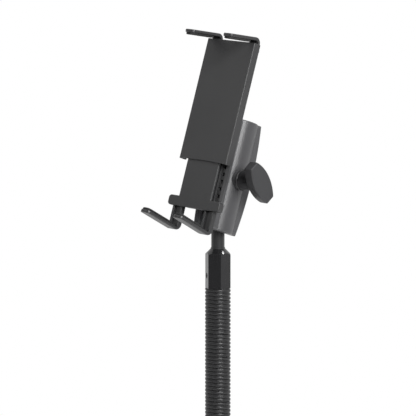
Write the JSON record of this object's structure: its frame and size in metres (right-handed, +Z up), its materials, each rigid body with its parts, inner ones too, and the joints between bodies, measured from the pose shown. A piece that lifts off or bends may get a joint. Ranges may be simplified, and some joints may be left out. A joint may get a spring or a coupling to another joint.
{
  "type": "gooseneck phone mount",
  "caption": "Gooseneck phone mount with a spring-loaded holder, a ball-jointed clamp arm and a bolt-down foot.",
  "frame": {"origin": "centre of the mounting foot's underside, on the neck's axis", "axes": "+Z up along the straight neck, -Y towards the side that the holder's front faces, +X to the side that carries the wing knob"},
  "size_m": [0.0741, 0.11, 0.5636],
  "materials": {
    "foot_paint": "satin",
    "ferrule_black": "gloss",
    "neck_black": "satin",
    "stud_black": "satin",
    "arm_grey": "satin",
    "knob_black": "matte",
    "holder_black": "matte",
    "pad_rubber": "matte",
    "ball_rubber": "matte",
    "zinc_steel": "satin",
    "brass": "satin"
  },
  "bodies": {
    "root": {"mounting_foot": "foot_paint", "foot_screw": "zinc_steel", "lower_ferrule": "ferrule_black", "lower_grub_screw": "zinc_steel", "neck_coil_01": "neck_black"},
    "neck_link_02": {"neck_coil_02": "neck_black"},
    "neck_link_03": {"neck_coil_03": "neck_black"},
    "neck_link_04": {"neck_coil_04": "neck_black"},
    "neck_link_05": {"neck_coil_05": "neck_black"},
    "neck_link_06": {"neck_coil_06": "neck_black"},
    "neck_link_07": {"neck_coil_07": "neck_black"},
    "neck_link_08": {"neck_coil_08": "neck_black"},
    "neck_link_09": {"neck_coil_09": "neck_black"},
    "neck_link_10": {"neck_coil_10": "neck_black"},
    "neck_link_11": {"neck_coil_11": "neck_black"},
    "neck_link_12": {"neck_coil_12": "neck_black"},
    "neck_link_13": {"neck_coil_13": "neck_black"},
    "neck_link_14": {"neck_coil_14": "neck_black"},
    "neck_link_15": {"neck_coil_15": "neck_black"},
    "neck_link_16": {"neck_coil_16": "neck_black"},
    "post": {"neck_coil_17": "neck_black", "upper_ferrule": "ferrule_black", "upper_grub_screw": "zinc_steel", "lower_ball_stud": "stud_black"},
    "lower_ball_body": {"lower_ball": "ball_rubber"},
    "arm": {"arm_half_inner": "arm_grey", "clamp_bolt": "zinc_steel", "clamp_spring": "zinc_steel"},
    "arm_outer": {"arm_half_outer": "arm_grey", "clamp_washer": "zinc_steel"},
    "knob": {"clamp_knob": "knob_black", "knob_insert": "brass"},
    "upper_ball_body": {"upper_ball": "ball_rubber"},
    "holder_base": {"holder_stud": "stud_black", "ball_plate": "holder_black", "ball_plate_screws": "zinc_steel", "rear_base": "holder_black", "front_plate": "holder_black", "cover_screws": "zinc_steel", "leg_leaf_springs": "zinc_steel", "spring_pin": "zinc_steel", "pull_springs": "zinc_steel"},
    "shell": {"upper_shell": "holder_black", "pull_bar": "holder_black", "top_leg_left": "holder_black", "top_leg_right": "holder_black", "top_leg_pads": "pad_rubber", "leg_screws": "zinc_steel"},
    "left_leg": {"bottom_leg_left": "holder_black", "left_leg_pad": "pad_rubber"},
    "right_leg": {"bottom_leg_right": "holder_black", "right_leg_pad": "pad_rubber"}
  },
  "joints": [
    {"name": "neck_bend_x", "type": "hinge", "parent": "root", "child": "neck_link_02", "pos_m": [0, 0, 0.05203], "axis": [1, 0, 0], "range_deg": [-11.25, 11.25]},
    {"name": "neck_bend_y", "type": "hinge", "parent": "neck_link_02", "child": "neck_link_03", "pos_m": [0, 0, 0.07107], "axis": [0, 1, 0], "range_deg": [-11.25, 11.25]},
    {"name": "neck_bend_x_2", "type": "hinge", "parent": "neck_link_03", "child": "neck_link_04", "pos_m": [0, 0, 0.09012], "axis": [1, 0, 0], "range_deg": [-11.25, 11.25]},
    {"name": "neck_bend_y_2", "type": "hinge", "parent": "neck_link_04", "child": "neck_link_05", "pos_m": [0, 0, 0.10917], "axis": [0, 1, 0], "range_deg": [-11.25, 11.25]},
    {"name": "neck_bend_x_3", "type": "hinge", "parent": "neck_link_05", "child": "neck_link_06", "pos_m": [0, 0, 0.12823], "axis": [1, 0, 0], "range_deg": [-11.25, 11.25]},
    {"name": "neck_bend_y_3", "type": "hinge", "parent": "neck_link_06", "child": "neck_link_07", "pos_m": [0, 0, 0.14727], "axis": [0, 1, 0], "range_deg": [-11.25, 11.25]},
    {"name": "neck_bend_x_4", "type": "hinge", "parent": "neck_link_07", "child": "neck_link_08", "pos_m": [0, 0, 0.16633], "axis": [1, 0, 0], "range_deg": [-11.25, 11.25]},
    {"name": "neck_bend_y_4", "type": "hinge", "parent": "neck_link_08", "child": "neck_link_09", "pos_m": [0, 0, 0.18538], "axis": [0, 1, 0], "range_deg": [-11.25, 11.25]},
    {"name": "neck_bend_x_5", "type": "hinge", "parent": "neck_link_09", "child": "neck_link_10", "pos_m": [0, 0, 0.20442], "axis": [1, 0, 0], "range_deg": [-11.25, 11.25]},
    {"name": "neck_bend_y_5", "type": "hinge", "parent": "neck_link_10", "child": "neck_link_11", "pos_m": [0, 0, 0.22348], "axis": [0, 1, 0], "range_deg": [-11.25, 11.25]},
    {"name": "neck_bend_x_6", "type": "hinge", "parent": "neck_link_11", "child": "neck_link_12", "pos_m": [0, 0, 0.24252], "axis": [1, 0, 0], "range_deg": [-11.25, 11.25]},
    {"name": "neck_bend_y_6", "type": "hinge", "parent": "neck_link_12", "child": "neck_link_13", "pos_m": [0, 0, 0.26158], "axis": [0, 1, 0], "range_deg": [-11.25, 11.25]},
    {"name": "neck_bend_x_7", "type": "hinge", "parent": "neck_link_13", "child": "neck_link_14", "pos_m": [0, 0, 0.28063], "axis": [1, 0, 0], "range_deg": [-11.25, 11.25]},
    {"name": "neck_bend_y_7", "type": "hinge", "parent": "neck_link_14", "child": "neck_link_15", "pos_m": [0, 0, 0.29968], "axis": [0, 1, 0], "range_deg": [-11.25, 11.25]},
    {"name": "neck_bend_x_8", "type": "hinge", "parent": "neck_link_15", "child": "neck_link_16", "pos_m": [0, 0, 0.31872], "axis": [1, 0, 0], "range_deg": [-11.25, 11.25]},
    {"name": "neck_bend_y_8", "type": "hinge", "parent": "neck_link_16", "child": "post", "pos_m": [0, 0, 0.33777], "axis": [0, 1, 0], "range_deg": [-11.25, 11.25]},
    {"name": "arm_spin", "type": "hinge", "parent": "post", "child": "lower_ball_body", "pos_m": [0, 0, 0.408], "axis": [0, 0, 1], "continuous": true},
    {"name": "arm_tilt", "type": "hinge", "parent": "lower_ball_body", "child": "arm", "pos_m": [0, 0, 0.408], "axis": [-0.9982, 0.017, 0.0568], "range_deg": [-35, 45]},
    {"name": "holder_tilt", "type": "hinge", "parent": "arm", "child": "upper_ball_body", "pos_m": [0.00409, 0.01979, 0.47397], "axis": [0.9982, -0.017, -0.0568], "range_deg": [-45, 3]},
    {"name": "holder_spin", "type": "hinge", "parent": "upper_ball_body", "child": "holder_base", "pos_m": [0.00409, 0.01979, 0.47397], "axis": [0, -0.9578, 0.2874], "continuous": true},
    {"name": "knob_turn", "type": "hinge", "parent": "arm_outer", "child": "knob", "pos_m": [0.00196, 0.00947, 0.43955], "axis": [0.9982, -0.017, -0.0568], "range_deg": [0, 720]},
    {"name": "clamp_open", "type": "slide", "parent": "arm", "child": "arm_outer", "axis": [0.9982, -0.017, -0.0568], "range_m": [0, 0.002]},
    {"name": "shell_slide", "type": "slide", "parent": "holder_base", "child": "shell", "axis": [0.0593, 0.2869, 0.9561], "range_m": [-0.0305, 0.035], "deforming": ["pull_springs"]},
    {"name": "left_leg_slide", "type": "slide", "parent": "holder_base", "child": "left_leg", "axis": [0.0593, 0.2869, 0.9561], "range_m": [-0.012, 0.0055]},
    {"name": "right_leg_slide", "type": "slide", "parent": "holder_base", "child": "right_leg", "axis": [0.0593, 0.2869, 0.9561], "range_m": [-0.012, 0.0055]}
  ],
  "couplings": [
    {"joint": "knob_turn", "follows": "clamp_open", "rad_per_m": 6283.2}
  ]
}
